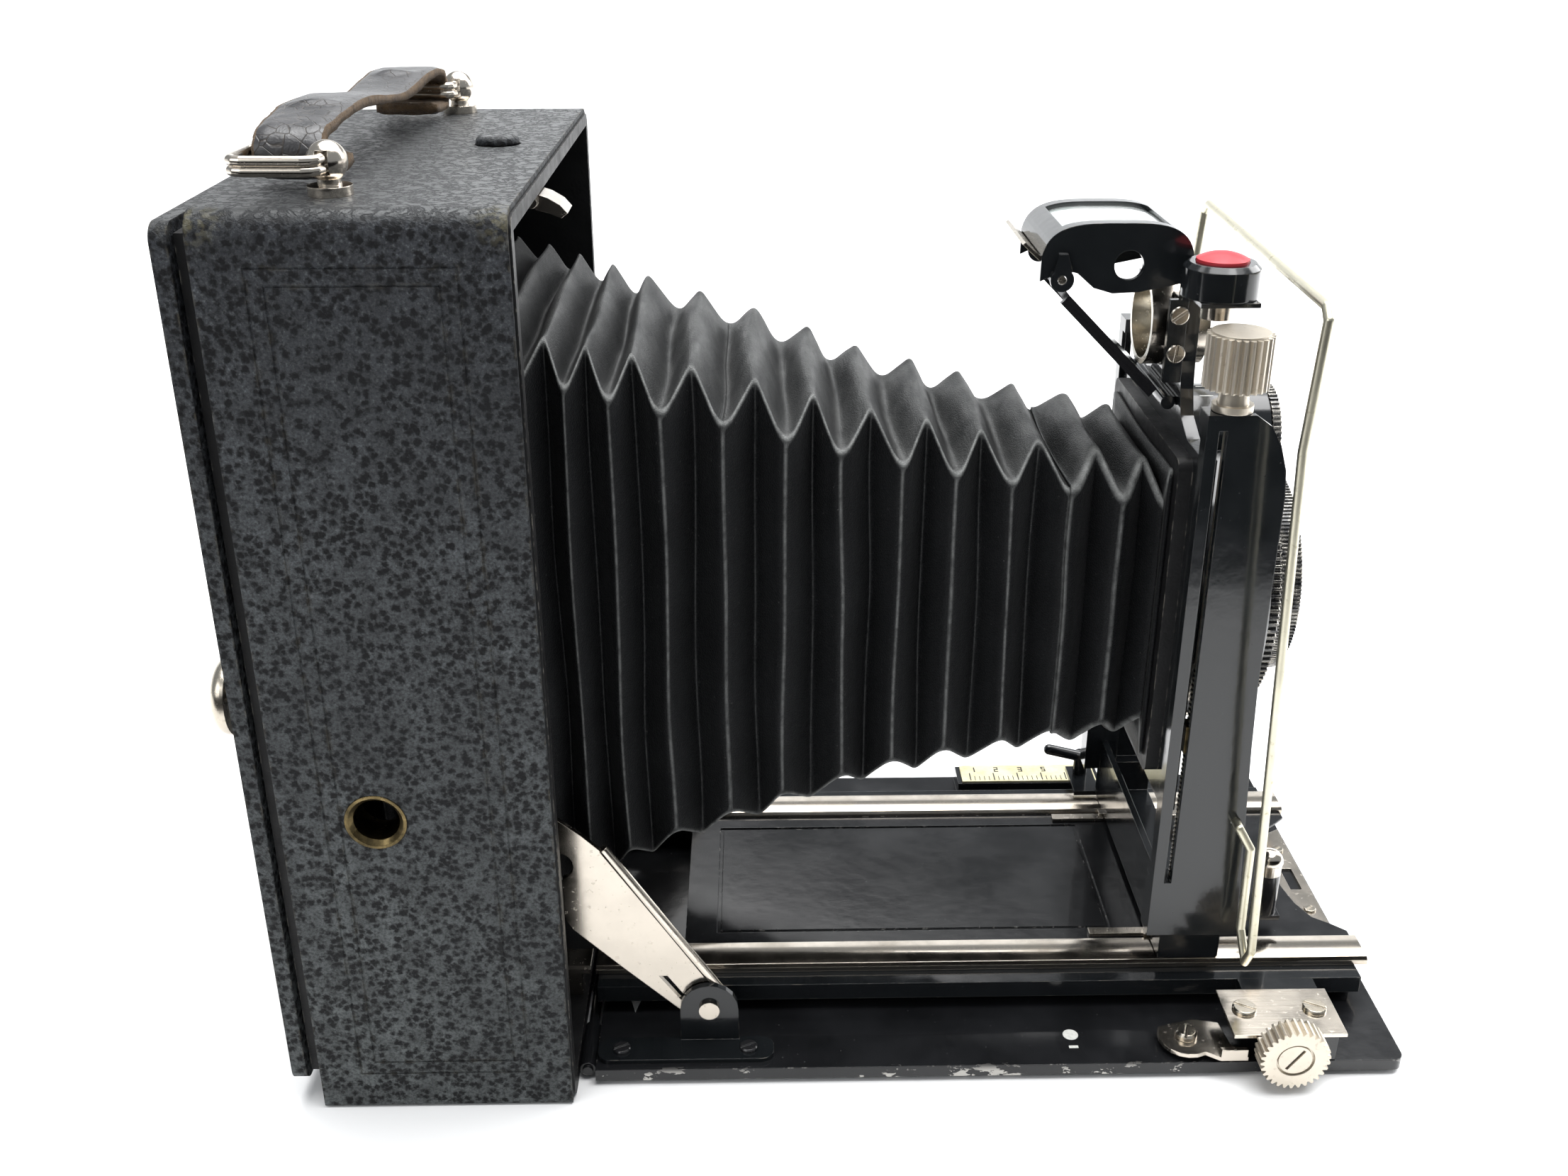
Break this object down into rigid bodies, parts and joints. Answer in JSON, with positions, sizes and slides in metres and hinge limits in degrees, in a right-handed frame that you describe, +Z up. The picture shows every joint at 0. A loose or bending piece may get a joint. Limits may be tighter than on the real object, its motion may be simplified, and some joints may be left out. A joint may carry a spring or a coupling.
{
  "type": "folding plate camera",
  "caption": "Folding bellows camera opened for use, with a drop bed, rack focusing, rising front, dial-set shutter, reflecting finder, wire finder and strap handle.",
  "frame": {"origin": "centre of the body's flat base, on the surface that the body stands on", "axes": "+X forward along the lens axis, +Y to the viewer's left, +Z up"},
  "size_m": [0.2151, 0.115, 0.1774],
  "materials": {
    "pebble_leather": "black leather with a raised pebble grain",
    "strap_leather": "smooth black leather, worn brown at the edges",
    "bellows_leather": "thin black bellows leather, dull",
    "black_enamel": "gloss black enamel on brass sheet",
    "black_inner": "dull black paint inside the body",
    "bed_paint": "black enamel on the bed, chipped at its edges",
    "nickel": "polished nickel plate, slightly yellowed",
    "nickel_worn": "nickel plate with tarnish in the corners",
    "wire_nickel": "yellowed nickel wire",
    "steel_dark": "dark oiled steel",
    "brass": "turned brass, dulled",
    "black_lacquer": "black lacquered brass with bright worn edges",
    "lens_glass": "polished lens glass",
    "ground_glass": "finely ground focusing glass",
    "finder_mirror": "silvered mirror",
    "level_glass": "red-tinted level glass",
    "scale_ivory": "cream scale plate with black marks"
  },
  "bodies": {
    "camera_body": {"body_box": "black_inner", "body_leather": "pebble_leather", "bellows_rear_frame": "black_inner", "body_rails": "nickel", "tripod_bush": "brass", "back_frame": "black_inner", "ground_glass": "ground_glass", "handle_posts": "nickel", "bed_panel": "bed_paint", "bed_covering": "pebble_leather", "bed_hinge": "bed_paint", "track_guides": "black_enamel", "latch_plate": "nickel", "strut_brackets": "black_enamel", "struts": "nickel", "strut_pins": "nickel", "bed_screws": "nickel_worn", "bearing_block": "black_enamel", "bearing_plate": "nickel", "scale_plate": "scale_ivory", "bellows": "bellows_leather"},
    "release": {"release_button": "pebble_leather"},
    "catch": {"bed_catch": "nickel"},
    "back": {"back_cover": "pebble_leather"},
    "back_catch": {"back_knob": "nickel_worn"},
    "handle": {"handle_rings": "nickel", "handle_strap": "strap_leather"},
    "carriage": {"carriage_plate": "bed_paint", "carriage_rails": "nickel", "focus_racks": "brass"},
    "focus_drive": {"focus_shaft": "steel_dark", "focus_knob": "nickel"},
    "standard": {"standard_frame": "black_enamel", "standard_clamps": "nickel"},
    "rise_drive": {"rise_screw": "nickel"},
    "rail_lock": {"rail_lock_lever": "black_enamel"},
    "near_grip": {"grip_near": "black_enamel"},
    "far_grip": {"grip_far": "black_enamel"},
    "wire_finder": {"wire_frame": "wire_nickel"},
    "front_panel": {"lens_panel": "black_enamel", "rise_nut": "brass", "bellows_front_frame": "black_inner", "shutter_housing": "black_enamel", "lens_barrel": "black_lacquer", "lens_rim": "black_lacquer", "lens_glass": "lens_glass", "finder_bracket": "black_enamel", "finder_fasteners": "nickel", "finder_barrel": "nickel", "finder_hood": "black_enamel", "finder_optics": "lens_glass", "finder_mirror": "finder_mirror", "level_housing": "black_enamel", "level_dome": "level_glass"},
    "dial": {"speed_dial": "black_lacquer"},
    "iris": {"iris_ring": "black_lacquer"},
    "lid": {"finder_lid": "nickel_worn"},
    "carriage_lock": {"lock_lever": "nickel"}
  },
  "joints": [
    {"name": "release_press", "type": "slide", "parent": "camera_body", "child": "release", "axis": [0, 0, -1], "range_m": [0, 0.001], "stiffness_N_per_m": 300},
    {"name": "catch_swing", "type": "hinge", "parent": "camera_body", "child": "catch", "pos_m": [0.0223, -0.02, 0.1612], "axis": [0, 1, 0], "range_deg": [0, 10.2]},
    {"name": "back_open", "type": "hinge", "parent": "camera_body", "child": "back", "pos_m": [-0.0281, 0.0564, 0.083], "axis": [0, 0, 1], "range_deg": [-100, 0]},
    {"name": "back_catch_turn", "type": "hinge", "parent": "back", "child": "back_catch", "pos_m": [-0.0285, -0.0477, 0.083], "axis": [1, 0, 0], "range_deg": [0, 90]},
    {"name": "handle_lift", "type": "hinge", "parent": "camera_body", "child": "handle", "pos_m": [-0.0034, 0, 0.171], "axis": [0.0393, 0.9992, 0], "range_deg": [0, 8]},
    {"name": "focus_slide", "type": "slide", "parent": "camera_body", "child": "carriage", "axis": [1, 0, 0], "range_m": [0, 0.06], "deforming": ["bellows"]},
    {"name": "pinion_turn", "type": "hinge", "parent": "camera_body", "child": "focus_drive", "pos_m": [0.1585, 0, 0.0083], "axis": [0, 1, 0], "range_deg": [0, 1860]},
    {"name": "standard_slide", "type": "slide", "parent": "carriage", "child": "standard", "axis": [1, 0, 0], "range_m": [-0.04, 0], "deforming": ["bellows"]},
    {"name": "rise_slide", "type": "slide", "parent": "standard", "child": "front_panel", "axis": [0, 0, 1], "range_m": [-0.008, 0.005], "deforming": ["bellows"]},
    {"name": "rise_screw_turn", "type": "hinge", "parent": "standard", "child": "rise_drive", "pos_m": [0.1396, -0.031, 0.08], "axis": [0, 0, 1], "range_deg": [-3610, 3610]},
    {"name": "wire_finder_fold", "type": "hinge", "parent": "standard", "child": "wire_finder", "pos_m": [0.1493, 0, 0.046], "axis": [0, 1, 0], "range_deg": [0, 90]},
    {"name": "rail_lock_turn", "type": "hinge", "parent": "standard", "child": "rail_lock", "pos_m": [0.1361, 0.0384, 0.017], "axis": [0, 0, 1], "range_deg": [-20, 20]},
    {"name": "near_grip_pinch", "type": "slide", "parent": "standard", "child": "near_grip", "axis": [0, 1, 0], "range_m": [0, 0.004], "stiffness_N_per_m": 200},
    {"name": "far_grip_pinch", "type": "slide", "parent": "standard", "child": "far_grip", "axis": [0, -1, 0], "range_m": [0, 0.004], "stiffness_N_per_m": 200},
    {"name": "speed_dial_turn", "type": "hinge", "parent": "front_panel", "child": "dial", "pos_m": [0.1555, 0, 0.1124], "axis": [1, 0, 0], "range_deg": [-150, 150]},
    {"name": "iris_turn", "type": "hinge", "parent": "front_panel", "child": "iris", "pos_m": [0.1535, 0, 0.084], "axis": [1, 0, 0], "range_deg": [-10, 10]},
    {"name": "finder_lid_turn", "type": "hinge", "parent": "front_panel", "child": "lid", "pos_m": [0.1127, 0, 0.145], "axis": [0, 1, 0], "range_deg": [-60, 0]},
    {"name": "carriage_lock_turn", "type": "hinge", "parent": "camera_body", "child": "carriage_lock", "pos_m": [0.1409, -0.0466, 0.005], "axis": [0, 0, 1], "range_deg": [0, 25]}
  ],
  "couplings": [
    {"joint": "catch_swing", "follows": "release_press", "rad_per_m": 174.5},
    {"joint": "pinion_turn", "follows": "focus_slide", "rad_per_m": 540.54},
    {"joint": "rise_screw_turn", "follows": "rise_slide", "rad_per_m": -6283.2},
    {"joint": "far_grip_pinch", "follows": "near_grip_pinch", "ratio": 1}
  ]
}
